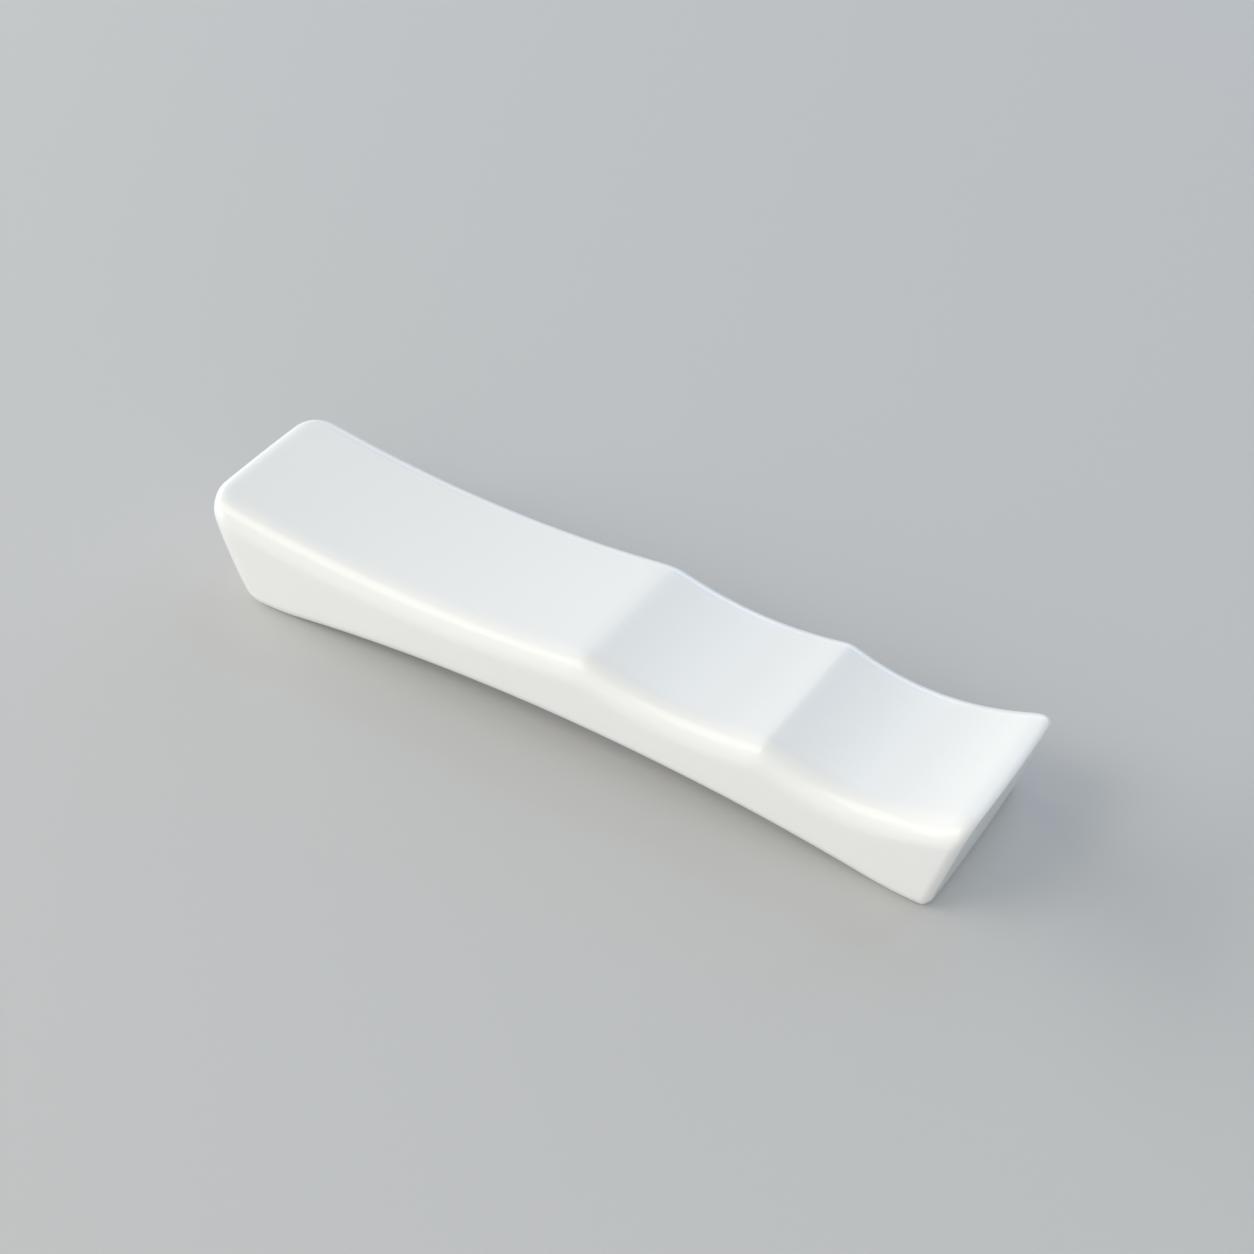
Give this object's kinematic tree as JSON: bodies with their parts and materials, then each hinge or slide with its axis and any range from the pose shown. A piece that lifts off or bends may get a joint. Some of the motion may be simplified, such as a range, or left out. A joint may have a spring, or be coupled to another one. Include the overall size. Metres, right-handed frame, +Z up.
{
  "type": "knife rest",
  "caption": "Low porcelain bar with scallops across its top that hold table cutlery off the cloth, leaning ends and an arched underside.",
  "frame": {"origin": "centre of the footprint box, on the table the rest stands on", "axes": "+X along the rest towards the end with the short scallops, +Y across it, +Z up"},
  "size_m": [0.1096, 0.025, 0.0143],
  "materials": {
    "glazed_porcelain": "glossy clear glaze over white porcelain, bare biscuit on the ground feet"
  },
  "bodies": {
    "root": {"porcelain_body": "glazed_porcelain"}
  },
  "joints": []
}
